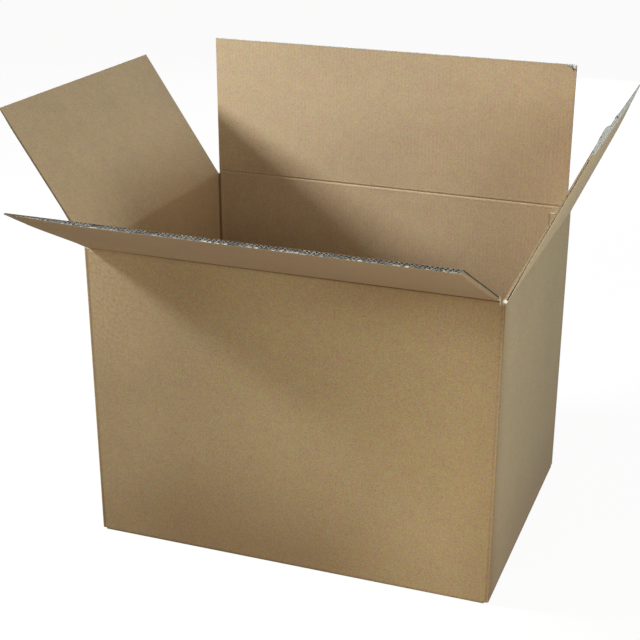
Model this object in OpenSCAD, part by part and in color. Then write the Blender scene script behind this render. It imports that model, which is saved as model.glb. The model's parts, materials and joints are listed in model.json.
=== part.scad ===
// Corrugated pallet box: a slotted carton of double-wall board, its bottom closed and its four top flaps open.
// Millimetres, +Z up, front wall at -Y, origin on the floor under the middle of the box.

/* [Box] */
// clear length inside, along X
inner_l = 780; // [400:5:1180]
// clear width inside, along Y
inner_w = 570; // [300:5:980]
// clear height inside, from the floor flaps to the crease of the long flaps
inner_h = 580; // [200:5:1100]

/* [Board] */
// thickness of each of the three liners
liner_t = 0.3; // [0.2:0.05:0.6]
// height of the coarse flute layer, on the inner side
coarse_h = 3.6; // [2.8:0.1:4.8]
// pitch of the coarse flutes
coarse_pitch = 7.9; // [6.5:0.1:9.5]
// height of the fine flute layer, on the outer side
fine_h = 2.5; // [1.8:0.1:3.2]
// pitch of the fine flutes
fine_pitch = 6.5; // [5:0.1:7.5]
// board left standing between two neighbouring flute channels
web_t = 1.2; // [0.6:0.1:2]

/* [Folds] */
// inner radius of the folded corners and of the bottom folds
fold_inner_r = 1; // [0.5:0.1:4]
// space between a flap's side edge and the folded corner beside it
slot_clear = 1; // [0.5:0.1:6]
// depth of the crease axis under the outer face
score_depth = 1.2; // [0.6:0.1:2.4]
// space across the crease between wall and flap
crease_gap = 0.6; // [0.4:0.05:0.9]
// space between the closed short flaps and the long flaps above them
flap_clear = 0.4; // [0.2:0.1:3]
// space between the two long flaps where they meet
seam_gap = 1.5; // [0.5:0.1:6]
// distance from the middle of the floor back to the seam of the long floor flaps
seam_shift = 1.5; // [0:0.25:4]
// board pressed solid beyond the bevels of a crease
crush_margin = 4; // [2:0.5:12]
// furthest a flap turns outward from upright, in degrees
outward_limit = 160; // [120:1:168]

/* [Glue tab] */
// flat width of the tab glued inside the back wall
tab_w = 35; // [20:1:60]
// distance from the short flaps' crease to the end of the tab
tab_drop = 4; // [2:0.5:20]
// slant of the tab's ends over its width
tab_slant = 3; // [0:0.5:15]
// step from the right wall's face back to the raw edge of the back wall
raw_edge_step = 1; // [0:0.25:3]

/* [Wear] */
// width of the torn corner of the back flap, along its free edge
torn_w = 20; // [6:1:60]
// height of the torn corner, along its side edge
torn_h = 14; // [6:1:60]
// depth of board lost at the torn corner, from the inner face
torn_depth = 2; // [0.5:0.1:3]

/* [Flaps at rest] */
// front flap, degrees outward from upright
front_open = 62.5; // [0:0.5:150]
// back flap, degrees outward from upright
back_open = 0; // [0:0.5:150]
// left flap, degrees outward from upright
left_open = 33.5; // [0:0.5:150]
// right flap, degrees outward from upright
right_open = 25.5; // [0:0.5:150]

/* [Hidden] */
$fn = 48;
board_t = 3 * liner_t + coarse_h + fine_h;
outer_l = inner_l + 2 * board_t;
outer_w = inner_w + 2 * board_t;
fold_r = board_t + fold_inner_r;
score_offset = board_t + flap_clear;
long_crease_z = 2 * board_t + inner_h;
short_crease_z = long_crease_z - score_offset;
half_gap = crease_gap / 2;
inner_run = board_t - score_depth;
outer_run = score_depth / tan((180 - outward_limit) / 2);
crush_l = max(inner_run, outer_run) + half_gap + crush_margin;
long_flap_l = outer_w / 2 - score_depth - seam_gap / 2;
short_flap_l = long_flap_l + score_offset;
long_floor_l = outer_w / 2 - seam_gap / 2;
short_floor_l = long_floor_l + score_offset;
long_half = outer_l / 2 - fold_r;
short_half = outer_w / 2 - fold_r;
tab_end = short_half - board_t;
corner_lo = fold_r / 2;
corner_hi = short_crease_z - crease_gap;
tab_lo = board_t + fold_r + tab_drop;
tab_hi = short_crease_z - tab_drop;
tab_root = fold_r * 0.3;
coarse_y1 = board_t - liner_t - score_depth;
coarse_y0 = coarse_y1 - coarse_h + liner_t;
fine_y0 = liner_t - score_depth;
fine_y1 = fine_y0 + fine_h - liner_t;
cut_over = 1;
kraft = "#B08A5B";
kraft_flap = "#B99364";

// upright part of a wall, bevelled at the crease so that its flap can turn
module wall_profile(base_z, crease_z) {
    polygon([
        [0, base_z],
        [0, crease_z - half_gap - outer_run],
        [score_depth, crease_z - half_gap],
        [board_t, crease_z - half_gap - inner_run],
        [board_t, base_z]
    ]);
}

// quarter turn of the board round a fold, centred on the fold
module fold_profile() {
    intersection() {
        difference() {
            circle(r = fold_r);
            circle(r = fold_inner_r);
        }
        translate([-fold_r, -fold_r])
            square([fold_r, fold_r]);
    }
}

// bottom fold and the floor flap that runs on from it
module floor_profile(base_z, reach) {
    translate([fold_r, base_z + fold_r])
        fold_profile();
    translate([fold_r, base_z])
        square([reach - fold_r, board_t]);
}

// a profile of depth and height run along X from x0 to x1
module run_along(x0, x1, half_depth) {
    translate([x0, -half_depth, 0])
        rotate([90, 0, 90])
            linear_extrude(height = x1 - x0)
                children();
}

// one wall with its bottom fold and floor flap, facing -Y
module wall(x0, x1, half_depth, base_z, crease_z, reach) {
    run_along(x0, x1, half_depth)
        wall_profile(base_z + fold_r, crease_z);
    run_along(x0 + slot_clear, x1 - slot_clear, half_depth)
        floor_profile(base_z, reach);
}

// folded upright corner between two heights, its outside towards -X and -Y
module corner(x, y, turn, lo, hi) {
    translate([x, y, lo])
        rotate([0, 0, turn])
            linear_extrude(height = hi - lo)
                fold_profile();
}

// raw end of the back wall and the tab of the right wall glued behind it
module glued_joint() {
    translate([long_half, outer_w / 2 - board_t, corner_lo])
        cube([fold_r - raw_edge_step, board_t, corner_hi - corner_lo]);
    translate([long_half, outer_w / 2 - board_t, 0])
        rotate([90, 0, 0])
            linear_extrude(height = board_t)
                polygon([
                    [-tab_w, tab_lo + tab_slant],
                    [0, tab_lo],
                    [0, tab_hi],
                    [-tab_w, tab_hi - tab_slant]
                ]);
    translate([long_half, outer_w / 2 - board_t - fold_inner_r, tab_lo])
        cube([tab_root, fold_inner_r, tab_hi - tab_lo]);
}

module carton() {
    color(kraft)
        union() {
            wall(-long_half, long_half, outer_w / 2, 0, long_crease_z, long_floor_l + seam_shift);
            rotate([0, 0, 180])
                wall(-long_half, long_half, outer_w / 2, 0, long_crease_z, long_floor_l - seam_shift);
            rotate([0, 0, -90])
                wall(-short_half, short_half, outer_l / 2, board_t, short_crease_z, short_floor_l);
            rotate([0, 0, 90])
                wall(-short_half, tab_end, outer_l / 2, board_t, short_crease_z, short_floor_l);
            corner(-long_half, -short_half, 0, corner_lo, corner_hi);
            corner(long_half, -short_half, 90, corner_lo, corner_hi);
            corner(-long_half, short_half, 270, corner_lo, corner_hi);
            corner(long_half, tab_end, 180, tab_lo, tab_hi);
            glued_joint();
        }
}

// row of flute channels across a flap, half a channel open at each side edge
module channels(x0, x1, pitch, y_wide, y_tip) {
    count = max(2, round((x1 - x0) / pitch));
    step = (x1 - x0) / count;
    half_base = (step - web_t) / 2;
    for (i = [0:count])
        translate([x0 + i * step, 0])
            polygon([[-half_base, y_wide], [half_base, y_wide], [0, y_tip]]);
}

// fluted section of a flap, outer face towards -Y
module flap_section(x0, x1) {
    difference() {
        translate([x0, -score_depth])
            square([x1 - x0, board_t]);
        channels(x0, x1, coarse_pitch, coarse_y1, coarse_y0);
        channels(x0, x1, fine_pitch, fine_y0, fine_y1);
    }
}

// root of a flap, pressed solid along the crease and bevelled to turn on it
module flap_root(x0, x1) {
    translate([x0, 0, 0])
        rotate([90, 0, 90])
            linear_extrude(height = x1 - x0)
                polygon([
                    [0, half_gap],
                    [board_t - score_depth, half_gap + inner_run],
                    [board_t - score_depth, crush_l],
                    [-score_depth, crush_l],
                    [-score_depth, half_gap + outer_run]
                ]);
}

// flap upright on its crease axis, outer face towards -Y
module flap(x0, x1, length) {
    union() {
        flap_root(x0, x1);
        translate([0, 0, crush_l])
            linear_extrude(height = length - crush_l)
                flap_section(x0, x1);
    }
}

// board torn away at the free corner beside x, from the inner face outward
module torn_corner(x, length) {
    translate([x, board_t - score_depth + cut_over, length])
        rotate([90, 0, 0])
            linear_extrude(height = torn_depth + cut_over)
                polygon([
                    [-cut_over, cut_over],
                    [torn_w, cut_over],
                    [torn_w / 2, -torn_h * 2 / 3],
                    [-cut_over, -torn_h]
                ]);
}

module front_flap() {
    color(kraft_flap)
        translate([0, -outer_w / 2 + score_depth, long_crease_z])
            rotate([front_open, 0, 0])
                flap(-long_half + slot_clear, long_half - slot_clear, long_flap_l);
}

module back_flap() {
    color(kraft_flap)
        translate([0, outer_w / 2 - score_depth, long_crease_z])
            rotate([back_open, 0, 180])
                difference() {
                    flap(-long_half + slot_clear, long_half - slot_clear, long_flap_l);
                    torn_corner(-long_half + slot_clear, long_flap_l);
                }
}

module left_flap() {
    color(kraft_flap)
        translate([-outer_l / 2 + score_depth, 0, short_crease_z])
            rotate([left_open, 0, -90])
                flap(-short_half + slot_clear, short_half - slot_clear, short_flap_l);
}

module right_flap() {
    color(kraft_flap)
        translate([outer_l / 2 - score_depth, 0, short_crease_z])
            rotate([right_open, 0, 90])
                flap(-short_half + slot_clear, tab_end - slot_clear, short_flap_l);
}

carton();
front_flap();
back_flap();
left_flap();
right_flap();
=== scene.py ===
"""Looks of the corrugated pallet box: walls, flaps with their fluting, creases, and a small studio.

Metres, +Z up, front wall towards -Y. Every piece is built on the creases of the loaded frame.
"""

import json
import math

import bpy
import numpy as np
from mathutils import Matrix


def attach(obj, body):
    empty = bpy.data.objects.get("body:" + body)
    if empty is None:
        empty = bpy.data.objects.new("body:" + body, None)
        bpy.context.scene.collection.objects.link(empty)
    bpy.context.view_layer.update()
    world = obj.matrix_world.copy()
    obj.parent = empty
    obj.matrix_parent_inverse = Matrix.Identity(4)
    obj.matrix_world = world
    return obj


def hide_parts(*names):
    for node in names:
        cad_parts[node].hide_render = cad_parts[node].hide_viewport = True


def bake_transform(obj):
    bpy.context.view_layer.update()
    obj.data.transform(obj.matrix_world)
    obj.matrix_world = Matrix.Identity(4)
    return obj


bl_info = {
    "name": "Corrugated pallet box",
    "version": (1, 0, 0),
    "blender": (4, 5, 0),
    "location": "View3D > Sidebar > Pallet box",
    "description": "Double-wall carton with fluted flaps, worn creases and a torn corner",
    "category": "Object",
}

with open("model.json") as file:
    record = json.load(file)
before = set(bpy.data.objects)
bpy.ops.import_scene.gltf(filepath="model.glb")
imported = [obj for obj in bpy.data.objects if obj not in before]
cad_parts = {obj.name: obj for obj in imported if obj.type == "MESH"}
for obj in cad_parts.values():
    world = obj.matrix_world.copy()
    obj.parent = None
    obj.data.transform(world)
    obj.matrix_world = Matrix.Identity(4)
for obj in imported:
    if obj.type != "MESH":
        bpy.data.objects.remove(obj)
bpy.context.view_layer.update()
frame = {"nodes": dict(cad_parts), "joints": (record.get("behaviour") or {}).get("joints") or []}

UP = np.array((0.0, 0.0, 1.0))
UV_NAME = "board"
# board that bends on each side of a crease
CREASE_HALF = 0.0072
# space that keeps two faces out of one plane
HAIR = 0.00005
# crushed board: share of the thickness lost, and how far it reaches along and across the flap
SIDE_CRUSH, SIDE_CRUSH_WIDTH, SIDE_CRUSH_RUN = 0.4, 0.006, 0.08
CORNER_CRUSH, CORNER_CRUSH_WIDTH, CORNER_CRUSH_RUN = 0.62, 0.16, 0.1
# inward twist of the right flap's back corner, and the share of its length at which it starts
RIGHT_TWIST, RIGHT_STRAIGHT = 0.005, 0.03
# how sharply the bottom folds turn, and how far the short walls' fold sags to the floor
FOLD_SHARPNESS, FOLD_SAG = 6, 0.0058
# rows and columns of the walls' mesh
WALL_ROWS, WALL_STEP, FOLD_ROWS, FLOOR_ROWS, CORNER_STEPS, TAB_STEPS = 26, 0.0165, 7, 14, 11, 8
# space between the short creases and the folded corners, and between the front crease and the raised corner
CORNER_GAP, EAR_GAP = 0.0006, 0.001
# painted shade on a wall, darker towards the bottom: strength and height of the broad part, then of the foot
PLAIN_PAINTED_SHADE = (0.2, 0.45, 0.35, 0.12)
RIGHT_PAINTED_SHADE = (0.28, 0.62, 0.33, 0.12)
# shreds along the free edges: width, depth, distance from the edge, lean, and the gaps without any
SHRED_WIDTH, SHRED_DEPTH, SHRED_BACK = (0.0018, 0.0062), (0.0012, 0.0035), (0.0001, 0.0009)
SHRED_LEAN, SHRED_GAP = 0.0007, (0.004, 0.012)
# stretch of the front flap's free edge where the inner liner is rubbed loose, and how softly it ends
PEEL_START, PEEL_STOP, PEEL_FADE = 0.125, 0.215, 0.012
# place of the split in the right flap's free edge, from its front corner
SPLIT = 0.262
# rows of a crease strip on each side of the crease
CREASE_ROWS = 16
# rows and samples of one flute
FLUTE_ROWS, FLUTE_SAMPLES = 9, 11
# camera of the photograph
CAMERA_PLACE = (0.84351, -2.3443, 1.38491)
CAMERA_TURN = (67.7087, -0.7483, 18.9556)
CAMERA_LENS, CAMERA_SENSOR = 75.435, 36
CAMERA_SHIFT = (-0.0695, 0.0250)
# half width of the floor, its drop under the box and its share of white glow
FLOOR_REACH, FLOOR_DROP, FLOOR_GLOW = 14, 0.0004, 0.94
# each lamp's power setting, place, target, size and colour
LAMPS = {
    "key_lamp": ("key_watts", (-2.4, -0.58, 2.03), (-0.1, 0.1, 0.6), 0.4, (0.92, 0.97, 1.0)),
    "fill_lamp": ("fill_watts", (9.0, -1.5, 2.85), (0.0, 0.0, 0.7), 1.4, (0.84, 0.98, 1.0)),
    "front_lamp": ("front_watts", (1.63, -2.34, 1.41), (0.0, 0.0, 0.6), 0.5, (1.0, 0.96, 0.86)),
    "back_lamp": ("back_watts", (-0.3, 4.5, 1.0), (0.0, 0.3, 0.5), 1.6, (1.0, 0.98, 0.95)),
    "low_lamp": ("low_watts", (0.7, -1.2, 0.22), (0.2, -0.3, 0.3), 0.4, (1.0, 0.92, 0.74)),
}
SKY_COLOUR = (1.0, 0.91, 0.76, 1)
WHITE = (1, 1, 1, 1)


def paint(red, green, blue):
    """Scene colour of a paint given as 0 to 255 screen values."""
    shares = [value / 255 for value in (red, green, blue)]
    return [s / 12.92 if s <= 0.04045 else ((s + 0.055) / 1.055) ** 2.4 for s in shares]


def length_prop(name, description, default, precision=4):
    """A size that a user may change, in metres."""
    return bpy.props.FloatProperty(
        name=name, description=description, default=default, unit="LENGTH", precision=precision)


def colour_prop(name, description, *shades):
    """A colour that a user may change, its default given as 0 to 255 screen values."""
    return bpy.props.FloatVectorProperty(
        name=name, description=description, subtype="COLOR", default=paint(*shades))


def power_prop(name, description, default):
    """The power of a lamp that a user may change, in watts."""
    return bpy.props.FloatProperty(name=name, description=description, default=default, unit="POWER")


class BoardSettings(bpy.types.PropertyGroup):
    """Sizes of the board and its folds"""
    liner: length_prop("Liner", "Thickness of each liner", 0.0003, 5)
    medium: length_prop("Medium", "Thickness of the waved paper", 0.0004, 5)
    coarse_height: length_prop("Coarse height", "Height of the inner flutes", 0.0036)
    coarse_pitch: length_prop("Coarse pitch", "Pitch of the inner flutes", 0.0079)
    fine_height: length_prop("Fine height", "Height of the outer flutes", 0.0025)
    fine_pitch: length_prop("Fine pitch", "Pitch of the outer flutes", 0.0065)
    fold_radius: length_prop("Fold radius", "Inner radius of a folded corner", 0.001)
    slot: length_prop("Slot", "Space beside a flap's side edge", 0.001)
    crease_half: length_prop("Crease", "Board that bends on each side of a crease", CREASE_HALF)
    seam: length_prop("Seam", "Space between the long floor flaps", 0.0015)
    seam_shift: length_prop("Seam shift", "Distance of the seam behind the middle", 0.0015)
    short_gap: length_prop("Flap gap", "Space between long and short flaps", 0.0004)
    tab_width: length_prop("Glue tab", "Width of the glue tab", 0.035, 3)
    tab_drop: length_prop("Tab drop", "Distance from the crease to the tab's end", 0.004)
    tab_slant: length_prop("Tab slant", "Slant of the tab's ends", 0.003)
    raw_step: length_prop("Raw edge", "Step back to the back wall's raw edge", 0.001)


class WearSettings(bpy.types.PropertyGroup):
    """Use and damage"""
    bow: length_prop("Bow", "Waviness of the walls", 0.0011)
    ragged: length_prop("Ragged edge", "Depth of the rough cut along free edges", 0.0007)
    fray: length_prop("Frayed corner", "Bulge of the right flap's free edge", 0.0042)
    torn_width: length_prop("Torn width", "Width of the back flap's torn corner", 0.021)
    torn_height: length_prop("Torn height", "Height of the back flap's torn corner", 0.015)
    seed: bpy.props.IntProperty(name="Seed", description="Start of the random numbers", default=11)


class PaperSettings(bpy.types.PropertyGroup):
    """Colours of the paper"""
    outside: colour_prop("Outside", "Outer liner", 156, 139, 108)
    inside: colour_prop("Inside", "Inner liner", 180, 157, 126)
    # pale rubbed paper, also the colour of painted light: the front wall's painted light pool, the right
    # flap's painted sheen, and painted highlights on beads and creases
    worn: colour_prop("Worn", "Rubbed edges and folds", 205, 184, 150)
    # dark paper of scored lines, also the colour of painted shade in corners, creases, folds and towards the
    # walls' bottom
    pressed_and_shade: colour_prop("Pressed", "Scored lines, pressed corners and soil", 92, 60, 28)
    # dark waved paper: painted shade inside the board
    flute: colour_prop("Fluting", "Waved paper inside the board", 76, 69, 60)
    cut: colour_prop("Cut edge", "Freshly cut paper", 240, 242, 238)


class StudioSettings(bpy.types.PropertyGroup):
    """Lamps and floor"""
    key_watts: power_prop("Key", "Lamp on the left", 164)
    fill_watts: power_prop("Fill", "Large lamp on the right", 365)
    front_watts: power_prop("Front", "Lamp by the camera", 14.2)
    back_watts: power_prop("Back", "Lamp behind the box", 75)
    low_watts: power_prop("Low", "Low lamp on the right", 7.3)
    sky: bpy.props.FloatProperty(name="Sky", description="Level of the soft light all round", default=0.21)
    floor: colour_prop("Floor", "Floor colour as it lights the box", 100, 63, 22)
    backdrop: colour_prop("Backdrop", "Floor colour as it is seen", 243, 243, 243)


class Panel:
    """One wall of the carton and the flap creased to its top, measured from that crease."""

    def __init__(self, joint):
        self.body = joint["child"]
        self.name = self.body.replace("_flap", "")
        self.pivot = np.array(joint["pos_m"], float)
        self.along = np.array(joint["axis"], float)
        self.out = np.cross(self.along, UP)
        self.open = math.radians(-joint["range_deg"][0] - 90)
        self.reach, self.inward = self.directions(self.open)
        corners = np.array([v.co for v in frame["nodes"][self.body].data.vertices]) - self.pivot
        self.start, self.stop = (corners @ self.along).min(), (corners @ self.along).max()
        self.length = (corners @ self.reach).max()
        self.outer, self.inner = (corners @ self.inward).min(), (corners @ self.inward).max()
        self.thick = self.inner - self.outer
        self.crease_z = self.pivot[2]
        self.shift = 0.0

    def directions(self, turn):
        """Directions from the crease to the free edge and inward, for a flap opened by a turn."""
        up, out = math.cos(turn), math.sin(turn)
        return UP * up + self.out * out, UP * out - self.out * up

    def paper_at(self, a, s):
        """Place on the flat strip of board, for the paper's grain."""
        return self.shift + a, self.crease_z + s

    def wall_point(self, a, depth, z):
        """Point of the wall, a along it and depth behind its outer face."""
        point = self.pivot + self.along * a - self.out * (self.outer + depth)
        point[2] = z
        return point

    def flap_point(self, a, s, t):
        """Point of the flap at rest, s from its crease and t inward of the crease line."""
        t = self.inner - (self.inner - t) * (1 - self.crush_at(a, s))
        if self.name == "right":
            across = (a - self.start) / (self.stop - self.start)
            t += RIGHT_TWIST * across * (s / self.length - RIGHT_STRAIGHT)
        return self.pivot + self.along * a + self.reach * s + self.inward * t

    def crush_at(self, a, s):
        """Share of the board's thickness lost along the cut side edges and at one free corner."""
        side = min(a - self.start, self.stop - a)
        run = min((s - CREASE_HALF) / SIDE_CRUSH_RUN, 1.0)
        slotted = SIDE_CRUSH * ease(1 - side / SIDE_CRUSH_WIDTH) * run
        if self.name not in PRESSED_CORNERS:
            return slotted
        from_side = self.stop - a if PRESSED_CORNERS[self.name] else a - self.start
        from_edge = self.length - s
        corner = ease(1 - from_side / CORNER_CRUSH_WIDTH) * ease(1 - from_edge / CORNER_CRUSH_RUN)
        return max(slotted, CORNER_CRUSH * corner)

    def bent_point(self, a, s, t, share):
        """Point near the crease, turned by a share of the flap's opening."""
        reach, inward = self.directions(self.open * share)
        return self.pivot + self.along * a + reach * s + inward * t


# painted light and shade of a flap's outer and inner liner, paler above 0, darker below: painted shade inside
# the front flap, painted light inside the left flap, and a painted sheen on the right flap's outer face
PAINTED_FLAP_LIGHT = {"front": (0.0, -0.3), "back": (0.0, 0.0), "left": (0.0, 0.05), "right": (0.9, 0.0)}
# side of the free corner that is pressed flat: 0 where the flap's run starts, 1 where it stops
PRESSED_CORNERS = {"front": 0, "right": 1, "left": 1}
PANELS = {panel.name: panel for panel in (Panel(joint) for joint in frame["joints"])}
# crushed paper over the side edges: share covered from the outer liner, or minus the share from the inner one
SIDE_COVER = {"front": (0.85, 0.5), "back": (0.95, 0.95), "left": (0.95, 1.0), "right": (-0.5, 0.8)}


class Sheet:
    """Board as pairs of points, outer face and inner face, with the quads between them."""

    def __init__(self):
        self.index, self.pairs, self.quads = {}, [], []

    def add(self, key, outer, inner, uv, wear):
        """A pair of points. The wear holds one value for each face: paler above 0, from rubbing and from
        painted light, darker below 0, from pressing and from painted shade.
        """
        self.index[key] = len(self.pairs)
        self.pairs.append((outer, inner, uv, wear))

    def quad(self, *keys):
        self.quads.append([self.index[key] for key in keys])

    def shell(self, papers):
        """Closed mesh lists of the board: points, faces, uv, wear, and a paper number for each face."""
        used = sorted({i for quad in self.quads for i in quad})
        place = {old: new for new, old in enumerate(used)}
        count = len(used)
        quads = [[place[i] for i in quad] for quad in self.quads]
        edges = {(quad[k], quad[(k + 1) % 4]) for quad in quads for k in range(4)}
        rims = [(b, a, a + count, b + count) for a, b in sorted(edges) if (b, a) not in edges]
        inners = [[i + count for i in reversed(quad)] for quad in quads]
        outer, inner, uv, wear = zip(*(self.pairs[i] for i in used))
        wears = [pair[side] for side in (0, 1) for pair in wear]
        kinds = [papers[0]] * len(quads) + [papers[1]] * len(inners) + [papers[2]] * len(rims)
        return outer + inner, quads + inners + rims, uv * 2, wears, kinds


def grid_sheet(along, rows, place, keep=None):
    """Sheet over a grid of stations, place(a, s) giving its points and keep(a, s) its cells."""
    sheet = Sheet()
    for i, a in enumerate(along):
        for j, s in enumerate(rows):
            sheet.add((i, j), *place(a, s))
    for i in range(len(along) - 1):
        for j in range(len(rows) - 1):
            middle = (along[i] + along[i + 1]) / 2, (rows[j] + rows[j + 1]) / 2
            if keep is None or keep(*middle):
                sheet.quad((i, j), (i + 1, j), (i + 1, j + 1), (i, j + 1))
    return sheet


def board_object(name, shells, materials):
    """One object of one or more closed shells of board."""
    points, faces, uv, wear, kinds = [], [], [], [], []
    for shell in shells:
        base = len(points)
        points += [tuple(p) for p in shell[0]]
        faces += [[i + base for i in face] for face in shell[1]]
        uv += shell[2]
        wear += shell[3]
        kinds += shell[4]
    mesh = bpy.data.meshes.new(name)
    mesh.from_pydata(points, [], faces)
    for material in materials:
        mesh.materials.append(material)
    mesh.polygons.foreach_set("material_index", kinds)
    finish_mesh(mesh, np.array(uv), np.array(wear))
    return link_object(name, mesh)


def finish_mesh(mesh, uv, wear):
    """Gives a mesh its board coordinates, its wear, which on the liners also holds painted light and shade,
    and smooth shading with sharp cut edges.
    """
    loops = np.empty(len(mesh.loops), np.int32)
    mesh.loops.foreach_get("vertex_index", loops)
    layer = mesh.uv_layers.new(name=UV_NAME)
    layer.data.foreach_set("uv", uv[loops].astype(np.float32).ravel())
    attribute = mesh.attributes.new("wear", "FLOAT", "POINT")
    attribute.data.foreach_set("value", wear.astype(np.float32))
    mesh.polygons.foreach_set("use_smooth", [True] * len(mesh.polygons))
    mesh.set_sharp_from_angle(angle=math.radians(38))
    mesh.update()
    if mesh.validate():
        raise RuntimeError(f"{mesh.name} had faults in its faces")


def link_object(name, mesh):
    thing = bpy.data.objects.new(name, mesh)
    bpy.context.scene.collection.objects.link(thing)
    return thing


def stations(start, stop, step, close=()):
    """Even stations from start to stop, with closer ones near both ends."""
    inset = max(close, default=0.0)
    span = stop - start - 2 * inset
    count = max(2, round(span / step))
    values = [start + inset + span * k / count for k in range(count + 1)]
    for gap in (0.0, *close):
        values += [start + gap, stop - gap]
    return sorted({round(value, 7) for value in values})


def hump(x, centre, width):
    return math.exp(-((x - centre) / width) ** 2)


def superellipse(x, y, sharp):
    """Length of a direction measured on a rounded square, squarer the sharper it is."""
    return (abs(x) ** sharp + abs(y) ** sharp) ** (1 / sharp)


def ease(x):
    x = min(max(x, 0.0), 1.0)
    return x * x * (3 - 2 * x)


class Waves:
    """Slow seeded waves over a surface, from -1 to 1."""

    def __init__(self, seed, size, count=7):
        random = np.random.default_rng(seed)
        self.turns = random.normal(0, 2 * math.pi / size, (count, 2))
        self.starts = random.uniform(0, 2 * math.pi, count)

    def at(self, u, v):
        return float(np.sin(self.turns @ (u, v) + self.starts).mean())


def set_panel_shifts(board):
    """Lays the four walls one after another along the strip of board, for the paper's grain."""
    fold = PANELS["front"].thick + board.fold_radius
    corner = math.pi / 2 * (fold + board.fold_radius) / 2
    position = board.raw_step
    for name in ("back", "left", "front", "right"):
        panel = PANELS[name]
        half = -panel.start + board.slot
        panel.shift = position + half
        position += 2 * half + corner


def painted_wall_shade_at(panel, a, z):
    """Painted shade on a wall's outer face, strongest at its foot, and below 0 where painted light makes the
    paper paler.
    """
    broad, top, foot, low = RIGHT_PAINTED_SHADE if panel.name == "right" else PLAIN_PAINTED_SHADE
    wall_shade = broad * ease(1 - z / top) + foot * hump(z, 0, low)
    # painted shade near the right wall's front corner
    if panel.name == "right":
        wall_shade += 0.3 * hump(a, panel.start, 0.03)
    # front wall: less painted shade on its right half, a painted shadow of the front flap along its top
    # right, painted shade by its right corner, and a painted pool of light on its top left
    if panel.name == "front":
        wall_shade *= 1 - 0.7 * ease((a - 0.05) / 0.25)
        wall_shade += 0.5 * hump(z, 0.6, 0.07) * ease((a + 0.05) / 0.25) + 0.15 * hump(a, panel.stop, 0.04)
        wall_shade -= (0.3 + 0.9 * ease((z - 0.3) / 0.2)) * ease(1 - (a - panel.start) / 0.2)
    return wall_shade


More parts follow.
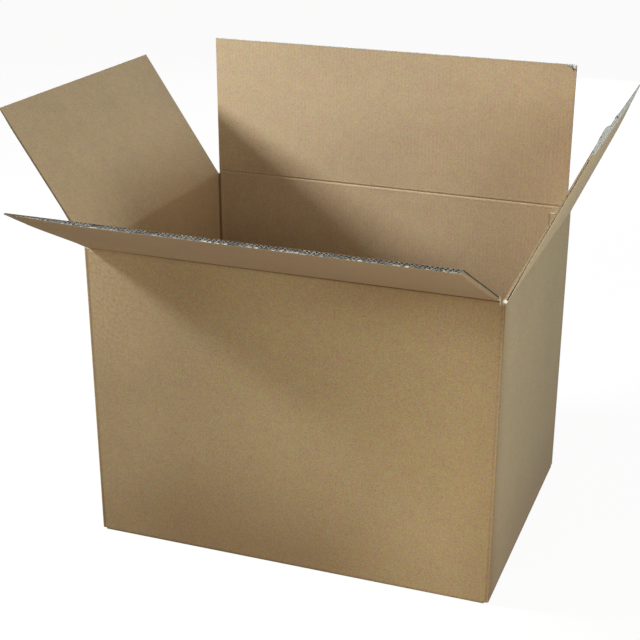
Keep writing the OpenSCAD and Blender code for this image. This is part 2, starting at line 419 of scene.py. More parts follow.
def build_walls(board, wear):
    """The carton: four walls, folded corners, floor flaps and glue tab, all one sheet of board."""
    thick = PANELS["front"].thick
    fold = thick + board.fold_radius
    half_x = PANELS["front"].stop + board.slot
    half_y = PANELS["left"].stop + board.slot
    tab_y = PANELS["right"].stop + board.slot
    long_top = PANELS["front"].crease_z - board.crease_half
    short_top = PANELS["left"].crease_z - board.crease_half
    corner_top = PANELS["left"].crease_z - CORNER_GAP
    ear_top = PANELS["front"].crease_z - EAR_GAP
    tab_low = thick + fold + board.tab_drop
    tab_top = PANELS["left"].crease_z - board.tab_drop
    bases = {"front": 0.0, "back": 0.0, "left": thick + HAIR, "right": thick + HAIR}
    fixed = {fold / 2, fold, thick + fold, tab_low, short_top, tab_top, corner_top, long_top, ear_top}
    heights = sorted(fixed | {tab_low + (short_top - tab_low) * k / WALL_ROWS for k in range(1, WALL_ROWS)})
    waves = {name: Waves(wear.seed + k, 0.42) for k, name in enumerate(PANELS)}
    half_floor = PANELS["back"].wall_point(0, 0, 0)[1] - board.seam / 2
    reaches = dict.fromkeys(("left", "right"), half_floor + thick + board.short_gap)
    reaches |= {"front": half_floor + board.seam_shift, "back": half_floor - board.seam_shift}
    close = (0.001, 0.0022, 0.0036, 0.0052, 0.0075, 0.012)

    sheet = Sheet()
    columns = []

    def new_column(name, a, role):
        columns.append((len(columns), name, a, role))
        return len(columns) - 1

    def wall_column(name, a, edge, role):
        panel = PANELS[name]
        key = new_column(name, a, role)
        short = name in ("left", "right")
        for z in heights:
            side = hump(edge, 0.0026, 0.0014)
            across = ease(edge / 0.09) * ease((z - 0.01) / 0.09) * ease((long_top - z) / 0.11)
            bow = wear.bow * across * waves[name].at(a, z)
            if name == "back":
                bow = abs(bow)
            outer = panel.wall_point(a, (0.0004 if short else 0.0001) * side + bow, z)
            bead = 0.0008 * hump(edge, 0.0044, 0.0017)
            inner = panel.wall_point(a, thick + bead + bow, z)
            # a rubbed pale line at the foot, painted shade along the short walls' dents beside the corners,
            # and the wall's painted shade and light
            rub = 0.05 * hump(z, 0.0, 0.012) - (0.2 if short else 0.0) * side - painted_wall_shade_at(panel, a, z)
            # inner face: a painted highlight on the bead beside a corner, painted shade in the corner itself,
            # and painted shade deeper down inside the box
            inside_painted_light = 0.3 * hump(edge, 0.0075, 0.002) - 0.9 * hump(edge, 0, 0.0038)
            inside_painted_light -= 0.25 * ease((0.54 - z) / 0.25)
            sheet.add((key, z), outer, inner, (panel.shift + a, z), (rub, inside_painted_light))

    def floor_rows(key, name, a, edge):
        panel, base = PANELS[name], bases[name]
        rows = []
        for k in range(1, FOLD_ROWS + 1):
            angle = math.pi / 2 * k / FOLD_ROWS
            tight = fold / superellipse(math.cos(angle), math.sin(angle), FOLD_SHARPNESS)
            bend = [fold - radius * math.cos(angle) for radius in (tight, board.fold_radius)]
            drop = [base + fold - radius * math.sin(angle) for radius in (tight, board.fold_radius)]
            if base > 0 and k < FOLD_ROWS:
                drop[0] -= FOLD_SAG * ease(angle / 0.9)
            v = base + fold - angle * (fold + board.fold_radius) / 2
            outer, inner = (panel.wall_point(a, depth, z) for depth, z in zip(bend, drop))
            # bottom fold: painted shade, with the wall's painted shade at its foot
            rows.append((outer, inner, v, -0.1 - painted_wall_shade_at(panel, a, 0.0)))
        for k in range(1, FLOOR_ROWS + 1):
            h = fold + (reaches[name] - fold) * k / FLOOR_ROWS
            worn = 0.7 * hump(edge, 0, 0.003) + (0.6 if k == FLOOR_ROWS else 0.0)
            outer, inner = panel.wall_point(a, h, base), panel.wall_point(a, h, base + thick)
            rows.append((outer, inner, base - h, worn))
        for j, (outer, inner, v, worn) in enumerate(rows):
            sheet.add((key, "floor", j), outer, inner, (panel.shift + a, v), (worn, worn))
        return len(rows)

    def corner_columns(x, y, first, name, stop, sharp, rubs_and_shade, role="corner"):
        """Folded corner after a wall, rounder or sharper, with the tone of its first and its last half:
        rubbed pale above 0, painted shade below 0.
        """
        panel = PANELS[name]
        for k in range(1, CORNER_STEPS):
            share = k / CORNER_STEPS
            angle = first + math.pi / 2 * share
            normal = np.array((math.cos(angle), math.sin(angle), 0.0))
            radius = fold / superellipse(normal[0], normal[1], sharp)
            worn = rubs_and_shade[0] * hump(share, 0.3, 0.2) + rubs_and_shade[1] * hump(share, 0.75, 0.2)
            key = new_column("corner", 0, role)
            for z in heights:
                centre = np.array((x, y, z))
                u = panel.shift + stop + math.pi / 4 * (fold + board.fold_radius) * share
                # outer face: the corner's tone less the wall's painted shade; inner face: painted shade in
                # the fold
                sheet.add((key, z), centre + normal * radius, centre + normal * board.fold_radius, (u, z),
                          (worn - painted_wall_shade_at(panel, panel.stop, z), -0.9))

    def wall_columns(name, start, stop):
        panel = PANELS[name]
        for a in stations(start, stop, WALL_STEP, close):
            inside = panel.start - 1e-5 <= a <= panel.stop + 1e-5
            wall_column(name, a, min(a - start, stop - a), "wall" if inside else "side")

    raw_x = half_x + fold - board.raw_step
    wall_column("back", -raw_x, 0.02, "raw")
    wall_columns("back", -half_x, half_x)
    # the back corner's positive tones are rubbed pale; the negative tones at both front corners are painted
    # shade
    corner_columns(-half_x, half_y, math.pi / 2, "back", half_x, 3, (0.2, 0.2))
    wall_columns("left", -half_y, half_y)
    corner_columns(-half_x, -half_y, math.pi, "left", half_y, 4, (-0.3, -0.3), "ear")
    wall_columns("front", -half_x, half_x)
    corner_columns(half_x, -half_y, 1.5 * math.pi, "front", half_x, 3, (-0.35, -0.6))
    wall_columns("right", -half_y, tab_y)
    tab_bend = len(columns)
    corner_columns(half_x, tab_y, 0.0, "right", tab_y, 2, (0.0, 0.0))
    tab_u = PANELS["right"].shift + tab_y + math.pi / 4 * (fold + board.fold_radius)
    for k in range(TAB_STEPS + 1):
        share = k / TAB_STEPS
        x = half_x - board.tab_width * share
        key = new_column("tab", 0, "tab")
        for z in heights:
            slant = board.tab_slant * share
            top = z - slant if z == tab_top else z + slant if z == tab_low else z
            outer_y = tab_y + fold - HAIR
            place = (tab_u + board.tab_width * share, top)
            # painted light on the tab's inner face, with a painted shadow line along its free edge
            lit = 0.35 - 1.2 * hump(share, 1, 0.05)
            sheet.add((key, z), (x, outer_y, top), (x, outer_y - thick, top), place, (0.0, lit))

    limits = {
        "long": (fold, long_top), "long side": (fold, corner_top),
        "short": (thick + fold, short_top), "short side": (thick + fold, short_top),
        "corner": (fold / 2, corner_top), "tab": (tab_low, tab_top), "ear": (fold / 2, ear_top),
    }
    for left, right in zip(columns, columns[1:]):
        roles = {left[3], right[3]}
        if right[0] >= tab_bend:
            kind = "tab"
        elif "ear" in roles:
            kind = "ear"
        elif roles & {"corner", "raw"}:
            kind = "corner"
        else:
            kind = "long" if left[1] in ("front", "back") else "short"
            kind += " side" if "side" in roles else ""
        low, high = limits[kind]
        for z0, z1 in zip(heights, heights[1:]):
            if z0 >= low - 1e-6 and z1 <= high + 1e-6:
                sheet.quad((left[0], z0), (right[0], z0), (right[0], z1), (left[0], z1))
        if kind in ("long", "short"):
            for key, name, a, _ in (left, right):
                if (key, "floor", 0) not in sheet.index:
                    panel = PANELS[name]
                    rows = floor_rows(key, name, a, min(a - panel.start, panel.stop - a))
            for j in range(rows - 1):
                sheet.quad((left[0], "floor", j + 1), (right[0], "floor", j + 1),
                           (right[0], "floor", j), (left[0], "floor", j))
            sheet.quad((left[0], "floor", 0), (right[0], "floor", 0), (right[0], low), (left[0], low))
    return sheet


def fray_at(panel, wear, a, s):
    """Inward bulge of the right flap's layers along the front half of its free edge."""
    if panel.name != "right":
        return 0.0
    from_corner = a - panel.start
    from_edge = panel.length - s
    along = ease(from_corner / 0.17) * ease((0.2 - from_corner) / 0.03)
    along += 0.35 * hump(from_corner, SPLIT, 0.02)
    return wear.fray * along * math.exp(-from_edge / 0.025)


def torn_at(wear, panel, a, s, waves):
    """True where the back flap's inner layers are torn off its free corner."""
    if panel.name != "back":
        return False
    across = (a - panel.start) / wear.torn_width
    down = (panel.length - s) / wear.torn_height
    return across + down < 0.92 + 0.35 * waves.at(a * 9, 0.0)


def painted_flap_light_at(panel, a):
    """Painted light and shade of a flap's outer and inner liner at a station along it."""
    outer, inner = PAINTED_FLAP_LIGHT[panel.name]
    # painted shade on the front flap's outer face, darker towards its right end
    shade = 0.5 * ease((a + 0.35) / 0.5) if panel.name == "front" else 0.0
    return outer - shade, inner


def edge_profile(panel, wear, seed):
    """Rough cut along a flap's free edge: how much is missing at a station."""
    random = np.random.default_rng(seed)
    count = 260
    bites = random.uniform(0, 1, count) ** 3 * wear.ragged
    places = np.linspace(panel.start, panel.stop, count)
    return lambda a: float(np.interp(a, places, bites))


def peeled_at(panel, a):
    """1 where the front flap's inner liner is rubbed loose along its free edge."""
    if panel.name != "front":
        return 0.0
    return ease((a - PEEL_START) / PEEL_FADE) * ease((PEEL_STOP - a) / PEEL_FADE)


def side_cap(panel, board, wear, end, cover):
    """Crushed paper over a share of a flap's side edge, pale where it comes from the inner liner."""
    low, high = panel.outer + board.liner, panel.inner - board.liner
    edge, inwards = ((panel.start, 1), (panel.stop, -1))[end]
    waves = Waves(wear.seed + 70 + end, 0.05)
    reach = stations(board.crease_half, panel.length - 0.0008, 0.009)
    rise = [0.0, 0.25, 0.5, 0.75, 1.0]
    worn = 0.9 if cover < 0 else -0.3

    def place(s, share):
        top = min(abs(cover) + 0.1 * waves.at(s, 0.0), 1.0)
        t = high - (high - low) * top * (1 - share) if cover < 0 else low + (high - low) * top * share
        a = edge + inwards * (0.0001 + 0.0008 * (1 - top) * share ** 2)
        outer, inner = panel.flap_point(a, s, t), panel.flap_point(a + inwards * board.liner, s, t)
        return outer, inner, panel.paper_at(a - inwards * t, s), (worn, 0.0)

    if end == 0:
        return grid_sheet(reach, rise, place).shell((0, 2, 0))
    return grid_sheet(rise, reach, lambda share, s: place(s, share)).shell((0, 2, 0))


def edge_cap(panel, board, wear):
    """Crushed and torn paper over most of the right flap's free edge."""
    low, high = panel.outer + board.liner, panel.inner - board.liner
    waves = Waves(wear.seed + 75, 0.012)
    along = stations(panel.start + 0.0006, panel.stop - 0.0006, 0.0035)
    rise = [0.0, 0.2, 0.4, 0.6, 0.8, 1.0]

    def place(a, share):
        top = 0.96 + 0.2 * min(waves.at(a, 0.0), 0.2)
        top *= 1 - 0.7 * hump(a - panel.start, SPLIT, 0.007) - 0.5 * hump(a - panel.start, 0.008, 0.006)
        s = panel.length - 0.0005 - 0.0004 * waves.at(a, 0.02 * share)
        t = low + (high - low + fray_at(panel, wear, a, s)) * top * share
        outer, inner = panel.flap_point(a, s, t), panel.flap_point(a, s - board.liner, t)
        return outer, inner, panel.paper_at(a, s + t), (0.75, 0.0)

    return grid_sheet(along, rise, place).shell((3, 2, 3))


def build_flap(panel, board, wear):
    """Three liners of a flap, from its crease strip to its free edge."""
    tight = panel.name == "back"
    close = tuple(0.0015 * k for k in range(1, 17)) if tight else (0.0006, 0.002, 0.004, 0.006, 0.01)
    along = stations(panel.start, panel.stop, 0.0042, close)
    steps = [0, 0.0008, 0.002, 0.0036, 0.0055, 0.0075, 0.0095, 0.012, 0.0145, 0.018, 0.024, 0.034, 0.05]
    first = board.crease_half
    free = panel.length
    rows = [first + (free - steps[-1] - first) * k / 12 for k in range(12)]
    rows += [free - step for step in reversed(steps)]
    waves = Waves(wear.seed + 40, 0.03)
    layers = {
        "outside": (panel.outer, (0, 2, 3)),
        "between": (panel.outer + board.liner + board.fine_height, (2, 2, 3)),
        "inside": (panel.inner - board.liner, (2, 1, 1)),
    }
    shells = []
    for k, (layer, (depth, papers)) in enumerate(layers.items()):
        missing = edge_profile(panel, wear, wear.seed + 60 + 3 * len(panel.name) + k)

        def place(a, s):
            bite = missing(a) * ease((s - free + 0.012) / 0.012)
            lift = fray_at(panel, wear, a, s) if layer == "inside" else 0.0
            side = min(a - panel.start, panel.stop - a)
            rub = max(0.25 * hump(side, 0, 0.0025), hump(s, free, 0.0025))
            if layer == "inside":
                rub = 1.6 * peeled_at(panel, a) * hump(s, free, 0.003) - 0.2 * rub
            outer = panel.flap_point(a, s - bite, depth + lift)
            inner = panel.flap_point(a, s - bite, depth + board.liner + lift)
            flap_light = painted_flap_light_at(panel, a)
            # rubbed edges plus the flap's painted light and shade
            wears = (0.3 * rub + flap_light[0], 0.6 * rub + flap_light[1])
            return outer, inner, panel.paper_at(a, s), wears

        def keep(a, s):
            return layer != "inside" or not torn_at(wear, panel, a, s, waves)

        shells.append(grid_sheet(along, rows, place, keep).shell(papers))
    shells += [side_cap(panel, board, wear, end, cover) for end, cover in enumerate(SIDE_COVER[panel.name])]
    if panel.name == "right":
        shells.append(edge_cap(panel, board, wear))
    return shells


def add_sockets(tree, way, kinds):
    """Adds named sockets to a node group and returns their identifiers."""
    made = {}
    for name, kind in kinds.items():
        made[name] = tree.interface.new_socket(name, in_out=way, socket_type=f"NodeSocket{kind}").identifier
    return made


def flute_tree():
    """Geometry nodes that lay one flute beside another into a waved sheet of paper."""
    tree = bpy.data.node_groups.new("flute_sheet", "GeometryNodeTree")
    add_sockets(tree, "OUTPUT", {"Geometry": "Geometry"})
    names = add_sockets(tree, "INPUT", {"Pitch": "Float", "Height": "Float", "Run": "Float", "Count": "Int",
                                        "Paper": "Material"})
    given = tree.nodes.new("NodeGroupInput").outputs
    add = NodeMaker(tree)
    grid = add("GeometryNodeMeshGrid", {"Size X": given["Pitch"], "Size Y": given["Run"],
                                        "Vertices X": FLUTE_SAMPLES, "Vertices Y": FLUTE_ROWS})
    place = add("ShaderNodeSeparateXYZ", {0: add("GeometryNodeInputPosition").outputs[0]})
    turn = add.sum("DIVIDE", place.outputs["X"], given["Pitch"])
    wave = add.sum("COSINE", add.sum("MULTIPLY", turn, 2 * math.pi))
    lift = add.sum("MULTIPLY", wave, add.sum("MULTIPLY", given["Height"], 0.5))
    share = add.sum("ADD", add.sum("DIVIDE", place.outputs["Y"], given["Run"]), 0.5)
    from_end = add.sum("POWER", add.sum("SUBTRACT", 1.0, share), 2.5)
    crowd = add.sum("MULTIPLY", add.sum("SUBTRACT", 1.0, from_end), given["Run"])
    spot = add("ShaderNodeCombineXYZ", {"X": place.outputs["X"], "Y": crowd, "Z": lift})
    flute = add("GeometryNodeSetPosition", {"Geometry": grid.outputs["Mesh"], "Position": spot.outputs[0]})
    half = add.sum("MULTIPLY", given["Pitch"], 0.5)
    first = add("ShaderNodeCombineXYZ", {"X": half})
    step = add("ShaderNodeCombineXYZ", {"X": given["Pitch"]})
    row = add("GeometryNodeMeshLine", {"Count": given["Count"], "Start Location": first.outputs[0],
                                       "Offset": step.outputs[0]})
    laid = add("GeometryNodeInstanceOnPoints", {"Points": row.outputs["Mesh"],
                                                "Instance": flute.outputs["Geometry"]})
    real = add("GeometryNodeRealizeInstances", {"Geometry": laid.outputs["Instances"]})
    done = add("GeometryNodeSetMaterial", {"Geometry": real.outputs["Geometry"], "Material": given["Paper"]})
    tree.links.new(done.outputs["Geometry"], tree.nodes.new("NodeGroupOutput").inputs[0])
    return tree, names


def waved_sheet(tree, names, panel, board, pitch, height, run, paper):
    """Plain mesh arrays of one waved sheet: points along, up and across it, and its faces."""
    count = round((panel.stop - panel.start) / pitch)
    maker = link_object("flute_maker", bpy.data.meshes.new("flute_maker"))
    modifier = maker.modifiers.new("flutes", "NODES")
    modifier.node_group = tree
    inputs = {"Pitch": (panel.stop - panel.start) / count, "Height": height - board.medium, "Run": run,
              "Count": count, "Paper": paper}
    for name, value in inputs.items():
        modifier[names[name]] = value
    weld = maker.modifiers.new("joined flutes", "WELD")
    weld.merge_threshold = 0.00002
    solid = maker.modifiers.new("paper", "SOLIDIFY")
    solid.thickness = board.medium
    solid.offset = 0
    ready = maker.evaluated_get(bpy.context.evaluated_depsgraph_get())
    mesh = bpy.data.meshes.new_from_object(ready)
    points = np.empty(len(mesh.vertices) * 3)
    mesh.vertices.foreach_get("co", points)
    faces = [list(polygon.vertices) for polygon in mesh.polygons]
    for modifier in list(maker.modifiers):
        maker.modifiers.remove(modifier)
    bpy.data.objects.remove(maker)
    bpy.data.meshes.remove(mesh)
    return points.reshape(-1, 3), faces


def add_shreds(panel, board, wear, points, faces, uv, cut):
    """Frayed bits of paper left by the knife along a flap's free edge, thickest on the right flap."""
    random = np.random.default_rng(wear.seed + 200 + 7 * len(panel.name))
    thick_fray = panel.name == "right"
    low = panel.outer + board.liner
    room = panel.inner - board.liner - low if thick_fray else board.fine_height
    gap, share = (0.012, (0.3, 0.7)) if thick_fray else (0.003, (0.3, 0.8))
    waves = Waves(wear.seed + 77, 0.06)
    cube = ((0, 2, 3, 1), (4, 5, 7, 6), (0, 1, 5, 4), (2, 6, 7, 3), (0, 4, 6, 2), (1, 3, 7, 5))
    a = panel.start + 0.003
    while a < panel.stop - 0.009:
        if not thick_fray and waves.at(a, 0.0) < -0.08:
            a += random.uniform(*SHRED_GAP)
            continue
        wide = random.uniform(*SHRED_WIDTH)
        deep = random.uniform(*SHRED_DEPTH)
        base = len(points)
        tall = random.uniform(*share) * room
        foot = low + random.uniform(0.0, 1.0 if thick_fray else 0.5) * (room - tall)
        tilt = random.uniform(-SHRED_LEAN, SHRED_LEAN, 4)
        back = random.uniform(*SHRED_BACK)
        pale = random.uniform(0.75, 1.0)
        for k in range(8):
            across, front, top = k >> 2 & 1, k >> 1 & 1, k & 1
            spot = a + wide * across + (tilt[0] if top else tilt[1]) * (1 - front)
            s = panel.length - back - deep * (1 - front) - abs(tilt[2 + across]) * front
            t = foot + tall * top * (0.5 + 0.5 * front) + 0.0002 * across
            lift = fray_at(panel, wear, spot, s) * (t - low) / (panel.inner - low)
            points.append(panel.flap_point(spot, s, t + lift))
            uv.append(panel.paper_at(spot, s))
            cut.append(pale)
        faces.extend([base + i for i in face] for face in cube)
        a += wide + random.exponential(gap)


def build_flutes(panel, board, wear, tree, names, paper):
    """Both waved papers of one flap as a single mesh, crushed and frayed along the free edge."""
    first = board.crease_half
    run = panel.length - first
    waves = Waves(wear.seed + 40, 0.03)
    bare = 0.016 if panel.name == "right" else 0.0035
    points, faces, uv, cut = [], [], [], []
    layers = (
        (board.coarse_pitch, board.coarse_height, panel.inner - board.liner - board.coarse_height / 2, 1.0),
        (board.fine_pitch, board.fine_height, panel.outer + board.liner + board.fine_height / 2, 0.0),
    )
    for number, (pitch, height, depth, moved) in enumerate(layers):
        sheet, quads = waved_sheet(tree, names, panel, board, pitch, height, run, paper)
        random = np.random.default_rng(wear.seed + 90 + number + 5 * len(panel.name))
        count = round((panel.stop - panel.start) / pitch) + 2
        short = random.uniform(0, 1, count) ** 2 * wear.ragged * 1.6
        squeeze = random.uniform(0.0, 1.0, count) ** 2 * (0.35 if moved else 0.7)
        pale = random.uniform(0.45 if moved else 0.6, 1.0, count)
        base = len(points)
        for x, y, z in sheet:
            flute = x / pitch
            near = ease((y - run + 0.010) / 0.010)
            open_end = ease((y - run + bare) / bare)
            spots = np.arange(count)
            back = float(np.interp(flute, spots, short)) * near
            press = 1 - float(np.interp(flute, spots, squeeze)) * near
            a, s = panel.start + x, first + y
            lift = fray_at(panel, wear, a, s) * moved * (0.5 + 0.5 * z / height)
            t = depth + z * press
            tear = bool(moved) and torn_at(wear, panel, a, s, waves)
            if tear:
                t = depth - height / 2 + 0.35 * (t - depth + height / 2)
            points.append(panel.flap_point(a, s - back - 0.0001, t + lift))
            uv.append(panel.paper_at(a, s))
            cut.append(max(open_end * float(np.interp(flute, spots, pale)), 0.6 * tear))
        faces += [[i + base for i in reversed(face)] for face in quads]
    add_shreds(panel, board, wear, points, faces, uv, cut)
    mesh = bpy.data.meshes.new(f"{panel.name}_flap_flutes")
    mesh.from_pydata(points, [], faces)
    mesh.materials.append(paper)
    finish_mesh(mesh, np.array(uv), np.array(cut))
    return link_object(mesh.name, mesh)


def build_crease(panel, board, wear):
    """Strip of crushed board that bends between a wall and its flap."""
    along = stations(panel.start, panel.stop, 0.006, (0.001,))
    half = board.crease_half
    rows = [half * k / CREASE_ROWS for k in range(-CREASE_ROWS, CREASE_ROWS + 1)]
    waves = Waves(wear.seed + 20, 0.08)
    bent = min(panel.open / math.radians(60), 1.0)
    straight = ease(1 - panel.open / math.radians(30))
    ends = 0.18 if panel.name == "right" else 0.0

    def place(a, s):
        share = ease((s + half) / (2 * half))
        depth = 1 + 0.25 * waves.at(a, 0)
        valley = (0.0006 + 0.0014 * bent) * depth * hump(s, 0, 0.0013)
        groove = 0.0014 * straight * depth * hump(s, 0, 0.0016)
        puff = 0.0002 * straight * (hump(s, 0.0044, 0.0013) + hump(s, -0.0044, 0.0013))
        outer = panel.bent_point(a, s, panel.outer + valley, share)
        inner = panel.bent_point(a, s, panel.inner - groove + puff, share)
        end_rub = ends * hump(min(a - panel.start, panel.stop - a), 0, 0.001)
        flap_light = painted_flap_light_at(panel, a)
        # outer face: the flap's painted light and the wall's painted shade carried across the strip, worn
        # pale crease ends, and a dark line in the crease, part pressed board and part painted shade
        outer_shade_and_wear = flap_light[0] * share - painted_wall_shade_at(panel, a, panel.crease_z) * (1 - share)
        outer_shade_and_wear += end_rub - (0.1 + 0.9 * bent) * hump(s, 0, 0.0019)
        # inner face: the flap's painted light and shade, worn ends, and a painted highlight below the groove
        # of a straight crease
        inner_light_and_wear = flap_light[1] * share + end_rub + 0.3 * straight * hump(s, -0.0012, 0.001)
        return outer, inner, panel.paper_at(a, s), (outer_shade_and_wear, inner_light_and_wear)

    return grid_sheet(along, rows, place).shell((0, 1, 3))


def node_maker(owner):
    """Clears the nodes of a material or a world and returns a maker of new ones."""
    owner.use_nodes = True
    owner.node_tree.nodes.clear()
    return NodeMaker(owner.node_tree)


class NodeMaker:
    """Adds nodes to a tree, taking numbers, colours or other nodes' sockets for the inputs."""

    def __init__(self, tree):
        self.tree = tree

    def __call__(self, kind, inputs=None, **settings):
        node = self.tree.nodes.new(kind)
        for name, value in settings.items():
            setattr(node, name, value)
        for name, value in (inputs or {}).items():
            if isinstance(value, bpy.types.NodeSocket):
                self.tree.links.new(value, node.inputs[name])
            else:
                node.inputs[name].default_value = value
        return node

    def sum(self, operation, first, second=0.0):
        return self("ShaderNodeMath", {0: first, 1: second}, operation=operation).outputs[0]

    def mix(self, share, first, second):
        return self("ShaderNodeMix", {0: share, 6: first, 7: second}, data_type="RGBA").outputs[2]

    def ramp(self, value, low, high, to_low=0.0, to_high=1.0):
        return self("ShaderNodeMapRange", {"Value": value, "From Min": low, "From Max": high,
                                           "To Min": to_low, "To Max": to_high}).outputs["Result"]

    def toned(self, colour, value, saturation=1.0):
        return self("ShaderNodeHueSaturation", {"Hue": 0.5, "Saturation": saturation, "Value": value,
                                                "Fac": 1.0, "Color": colour}).outputs[0]

    def noise(self, vector, scale, detail, roughness=0.5, output="Fac"):
        return self("ShaderNodeTexNoise", {"Vector": vector, "Scale": scale, "Detail": detail,
                                           "Roughness": roughness}).outputs[output]

    def dress(self, shader, colour, roughness, height, strength, distance):
        """Links a surface's colour, roughness and bumps to its shader."""
        bump = self("ShaderNodeBump", {"Strength": strength, "Distance": distance, "Height": height})
        for name, value in (("Base Color", colour), ("Roughness", roughness), ("Normal", bump.outputs[0])):
            self.tree.links.new(value, shader.inputs[name])


def kraft_group():
    """Node group of the kraft liner: mottled paper with fibres, flecks, flute lines in colour as painted
    shade besides their bumps, rubbed edges, and painted light and shade from the wear value.
    """
    tree = bpy.data.node_groups.new("kraft_liner", "ShaderNodeTree")
    add_sockets(tree, "INPUT", {"Vector": "Vector", "Paper": "Color", "Worn": "Color", "Pressed": "Color",
                                "Wear": "Float", "Pitch": "Float", "Lines": "Float"})
    add_sockets(tree, "OUTPUT", {"Color": "Color", "Roughness": "Float", "Height": "Float"})
    given = tree.nodes.new("NodeGroupInput").outputs
    add = NodeMaker(tree)

    def noise(scale, detail, vector=given["Vector"], output="Fac"):
        return add.noise(vector, scale, detail, 0.6, output)

    stretched = add("ShaderNodeVectorMath", {0: given["Vector"], 1: (1.0, 0.28, 1.0)},
                    operation="MULTIPLY").outputs[0]
    cloud = add.sum("SUBTRACT", noise(6.0, 3.0), 0.5)
    blotch = add.sum("SUBTRACT", noise(42.0, 4.0), 0.5)
    grain = add.sum("SUBTRACT", noise(420.0, 2.0), 0.5)
    fibre = add.sum("SUBTRACT", noise(900.0, 2.0, stretched), 0.5)
    fleck = add.ramp(noise(300.0, 1.0, stretched), 0.66, 0.74)
    u = add("ShaderNodeSeparateXYZ", {0: given["Vector"]}).outputs["X"]
    turn = add.sum("MULTIPLY", add.sum("DIVIDE", u, given["Pitch"]), 2 * math.pi)
    line = add.sum("COSINE", turn)
    drift = add.ramp(noise(11.0, 2.0), 0.35, 0.65, 0.35, 1.0)
    lines = add.sum("MULTIPLY", add.sum("MULTIPLY", line, given["Lines"]), drift)
    tone = 1.0
    # the flute lines' share of the tone is painted shade along the flutes
    for part, share in ((cloud, 0.20), (blotch, 0.16), (grain, 0.36), (fibre, 0.28), (lines, 0.045)):
        tone = add.sum("ADD", add.sum("MULTIPLY", part, share), tone)
    toned = add.toned(given["Paper"], tone)
    flecked = add.mix(add.sum("MULTIPLY", fleck, 0.4), toned, add.toned(toned, 0.62, 1.1))
    rough_wear = add.ramp(noise(160.0, 3.0), 0.3, 0.7, 0.25, 1.0)
    # the wear value turns pale above 0 and dark below 0: real rubbing and pressing, and painted light and
    # shade
    rubbed = add.sum("MULTIPLY", add.sum("MAXIMUM", given["Wear"], 0.0), rough_wear)
    pressed_and_shade = add.sum("MULTIPLY", add.sum("MAXIMUM", add.sum("MULTIPLY", given["Wear"], -1.0), 0.0), 0.8)
    tints = noise(400.0, 2.0, output="Color")
    fibres = add("ShaderNodeMix", {0: 0.18, 6: flecked, 7: tints}, data_type="RGBA",
                 blend_type="LINEAR_LIGHT").outputs[2]
    paled = add.mix(add.sum("MULTIPLY", rubbed, 0.55), fibres, given["Worn"])
    colour = add.mix(pressed_and_shade, paled, given["Pressed"])
    roughness = add.sum("ADD", add.sum("MULTIPLY", fibre, 0.25), 0.82)
    height = 0.5
    for part, share in ((blotch, 0.22), (grain, 0.18), (fibre, 0.16), (lines, 0.30)):
        height = add.sum("ADD", add.sum("MULTIPLY", part, share), height)
    result = tree.nodes.new("NodeGroupOutput").inputs
    for name, value in (("Color", colour), ("Roughness", roughness), ("Height", height)):
        tree.links.new(value, result[name])
    return tree


def start_material(name):
    """New material with its node maker, its board coordinates, its wear with painted light and shade, and its
    shader.
    """
    material = bpy.data.materials.new(name)
    add = node_maker(material)
    shader = add("ShaderNodeBsdfPrincipled", {"Specular IOR Level": 0.3, "Sheen Weight": 0.1,
                                              "Sheen Roughness": 0.4})
    output = add("ShaderNodeOutputMaterial", {"Surface": shader.outputs[0]})
    output.is_active_output = True
    vector = add("ShaderNodeUVMap", uv_map=UV_NAME).outputs[0]
    wear = add("ShaderNodeAttribute", attribute_name="wear").outputs["Fac"]
    return material, add, shader, vector, wear


def kraft_material(name, group, tint, paper, pitch, lines):
    """Liner of the board, seen from outside or inside the box."""
    material, add, shader, vector, wear = start_material(name)
    skin = add("ShaderNodeGroup", {
        "Vector": vector, "Wear": wear, "Pitch": pitch, "Lines": lines, "Paper": (*paper, 1),
        "Worn": (*tint.worn, 1), "Pressed": (*tint.pressed_and_shade, 1)}, node_tree=group)
    colour, roughness, height = (skin.outputs[name] for name in ("Color", "Roughness", "Height"))
    add.dress(shader, colour, roughness, height, 0.6, 0.0006)
    return material


def flute_material(name, paper, cut):
    """Waved paper, painted dark for the shade inside the board, and pale where it is cut."""
    material, add, shader, vector, wear = start_material(name)
    noise = add.noise(vector, 350.0, 3.0)
    ends = add.sum("MULTIPLY", wear, add.ramp(noise, 0.25, 0.5, 0.25, 1.0))
    tone = add.toned((*paper, 1), add.ramp(noise, 0.2, 0.8, 0.8, 1.2))
    roughness = add.ramp(noise, 0.2, 0.8, 0.75, 0.95)
    add.dress(shader, add.mix(ends, tone, (*cut, 1)), roughness, noise, 0.5, 0.0004)
    return material


def cut_material(name, paper, cut):
    """Cut edge of a liner or of crushed board, with torn fibres."""
    material, add, shader, vector, wear = start_material(name)
    noise = add.noise(vector, 240.0, 4.0)
    share = add.sum("MULTIPLY", add.ramp(noise, 0.3, 0.55, 0.5, 1.0), add.ramp(wear, 0.0, 0.6, 0.12, 1.0))
    roughness = add.ramp(noise, 0.2, 0.8, 0.8, 0.95)
    add.dress(shader, add.mix(share, (*paper, 1), (*cut, 1)), roughness, noise, 0.2, 0.0005)
    return material


def papers(scene):
    """The four papers, in the order in which a board's faces number them."""
    board, tint = scene.pallet_box_board, scene.pallet_box_paper
    names = ("kraft_outside", "kraft_inside", "fluting", "cut_edge")
    found = [bpy.data.materials.get(name) for name in names]
    if all(found):
        return found
    group = kraft_group()
    return [
        kraft_material(names[0], group, tint, tint.outside, board.fine_pitch, 0.2),
        kraft_material(names[1], group, tint, tint.inside, board.coarse_pitch, 0.38),
        flute_material(names[2], tint.flute, tint.cut),
        cut_material(names[3], tint.outside, tint.cut),
    ]


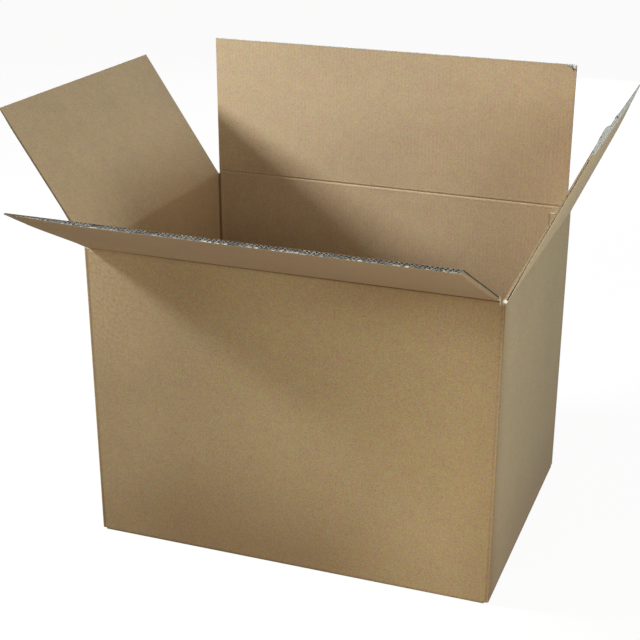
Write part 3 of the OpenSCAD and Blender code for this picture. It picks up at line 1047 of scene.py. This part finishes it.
class PALLETBOX_OT_walls(bpy.types.Operator):
    """Build the carton's walls, floor flaps and glue tab"""
    bl_idname = "pallet_box.walls"
    bl_label = "Walls and floor"

    def execute(self, context):
        scene = context.scene
        set_panel_shifts(scene.pallet_box_board)
        sheet = build_walls(scene.pallet_box_board, scene.pallet_box_wear)
        walls = board_object("carton_walls", [sheet.shell((0, 1, 3))], papers(scene))
        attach(walls, "carton")
        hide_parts("carton")
        return {"FINISHED"}


class PALLETBOX_OT_flaps(bpy.types.Operator):
    """Build the liners of the four top flaps"""
    bl_idname = "pallet_box.flaps"
    bl_label = "Flap liners"

    def execute(self, context):
        scene = context.scene
        for panel in PANELS.values():
            shells = build_flap(panel, scene.pallet_box_board, scene.pallet_box_wear)
            flap = board_object(f"{panel.name}_flap_board", shells, papers(scene))
            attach(flap, panel.body)
            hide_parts(panel.body)
        return {"FINISHED"}


class PALLETBOX_OT_flutes(bpy.types.Operator):
    """Build the waved papers inside the four top flaps"""
    bl_idname = "pallet_box.flutes"
    bl_label = "Fluting"

    def execute(self, context):
        scene = context.scene
        tree, names = flute_tree()
        for panel in PANELS.values():
            flutes = build_flutes(panel, scene.pallet_box_board, scene.pallet_box_wear, tree, names,
                                  papers(scene)[2])
            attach(flutes, panel.body)
        return {"FINISHED"}


class PALLETBOX_OT_creases(bpy.types.Operator):
    """Build the bending strips between walls and flaps"""
    bl_idname = "pallet_box.creases"
    bl_label = "Creases"

    def execute(self, context):
        scene = context.scene
        board = scene.pallet_box_board
        for panel in PANELS.values():
            shell = build_crease(panel, board, scene.pallet_box_wear)
            strip = board_object(f"{panel.name}_crease", [shell], papers(scene))
            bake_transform(strip)
        return {"FINISHED"}


def add_lamp(name, place, target, size, watts, colour):
    """Square area lamp at a place, turned to a target."""
    lamp = bpy.data.lights.new(name, "AREA")
    lamp.size = size
    lamp.energy = watts
    lamp.color = colour
    thing = link_object(name, lamp)
    thing.visible_camera = False
    thing.location = place
    way = np.array(target) - np.array(place)
    flat = math.hypot(way[0], way[1])
    thing.rotation_euler = (math.atan2(flat, -way[2]), 0, math.atan2(-way[0], way[1]))


def view_rays(add):
    """1 for rays that show the stage itself, 0 for rays that only carry its light."""
    path = add("ShaderNodeLightPath").outputs
    seen = add.sum("MAXIMUM", path["Is Camera Ray"], path["Is Glossy Ray"])
    return add.sum("MAXIMUM", seen, path["Is Transmission Ray"])


class PALLETBOX_OT_studio(bpy.types.Operator):
    """Build the floor, the lamps, the soft light all round and the camera"""
    bl_idname = "pallet_box.studio"
    bl_label = "Studio"

    def execute(self, context):
        scene = context.scene
        studio = scene.pallet_box_studio
        scene.view_settings.view_transform = "Standard"

        mesh = bpy.data.meshes.new("studio_floor")
        turns = ((-1, -1), (1, -1), (1, 1), (-1, 1))
        corners = [(FLOOR_REACH * x, FLOOR_REACH * y, -FLOOR_DROP) for x, y in turns]
        mesh.from_pydata(corners, [], [(0, 1, 2, 3)])
        material = bpy.data.materials.new("studio_floor")
        add = node_maker(material)
        seen = view_rays(add)
        colour = add.mix(seen, (*studio.floor, 1), (*studio.backdrop, 1))
        matt = add("ShaderNodeBsdfDiffuse", {"Color": colour})
        glow = add("ShaderNodeEmission", {"Color": WHITE, "Strength": 1.0})
        share = add.sum("MULTIPLY", seen, FLOOR_GLOW)
        both = add("ShaderNodeMixShader", {0: share, 1: matt.outputs[0], 2: glow.outputs[0]})
        add("ShaderNodeOutputMaterial", {"Surface": both.outputs[0]})
        mesh.materials.append(material)
        link_object("studio_floor", mesh)

        world = bpy.data.worlds.new("studio_light")
        add = node_maker(world)
        soft = add("ShaderNodeBackground", {"Color": SKY_COLOUR, "Strength": studio.sky})
        white = add("ShaderNodeBackground", {"Color": WHITE, "Strength": 1.0})
        both = add("ShaderNodeMixShader", {0: view_rays(add), 1: soft.outputs[0], 2: white.outputs[0]})
        add("ShaderNodeOutputWorld", {"Surface": both.outputs[0]})
        scene.world = world

        for name, (setting, place, target, size, colour) in LAMPS.items():
            add_lamp(name, place, target, size, getattr(studio, setting), colour)

        camera = bpy.data.cameras.new("photo_camera")
        camera.sensor_width = CAMERA_SENSOR
        camera.lens = CAMERA_LENS
        camera.shift_x, camera.shift_y = CAMERA_SHIFT
        camera.clip_end = 60
        thing = link_object("photo_camera", camera)
        thing.location = CAMERA_PLACE
        thing.rotation_euler = [math.radians(angle) for angle in CAMERA_TURN]
        scene.camera = thing
        return {"FINISHED"}


class PALLETBOX_PT_sidebar(bpy.types.Panel):
    """Steps and settings of the pallet box"""
    bl_idname = "PALLETBOX_PT_sidebar"
    bl_label = "Pallet box"
    bl_space_type = "VIEW_3D"
    bl_region_type = "UI"
    bl_category = "Pallet box"

    def draw(self, context):
        for step in STEPS:
            self.layout.operator(step.bl_idname)
        for group in GROUPS:
            settings = getattr(context.scene, group)
            column = self.layout.column()
            for name in settings.__annotations__:
                column.prop(settings, name)


STEPS = (
    PALLETBOX_OT_walls,
    PALLETBOX_OT_flaps,
    PALLETBOX_OT_flutes,
    PALLETBOX_OT_creases,
    PALLETBOX_OT_studio,
)
GROUPS = {
    "pallet_box_board": BoardSettings,
    "pallet_box_wear": WearSettings,
    "pallet_box_paper": PaperSettings,
    "pallet_box_studio": StudioSettings,
}


def register():
    for group in GROUPS.values():
        bpy.utils.register_class(group)
    for name, group in GROUPS.items():
        setattr(bpy.types.Scene, name, bpy.props.PointerProperty(type=group))
    for step in STEPS:
        bpy.utils.register_class(step)
    bpy.utils.register_class(PALLETBOX_PT_sidebar)


def unregister():
    bpy.utils.unregister_class(PALLETBOX_PT_sidebar)
    for step in reversed(STEPS):
        bpy.utils.unregister_class(step)
    for name in GROUPS:
        delattr(bpy.types.Scene, name)
    for group in reversed(GROUPS.values()):
        bpy.utils.unregister_class(group)


def main():
    register()
    bpy.ops.pallet_box.walls()
    bpy.ops.pallet_box.flaps()
    bpy.ops.pallet_box.flutes()
    bpy.ops.pallet_box.creases()
    bpy.ops.pallet_box.studio()


if __name__ == "__main__":
    main()
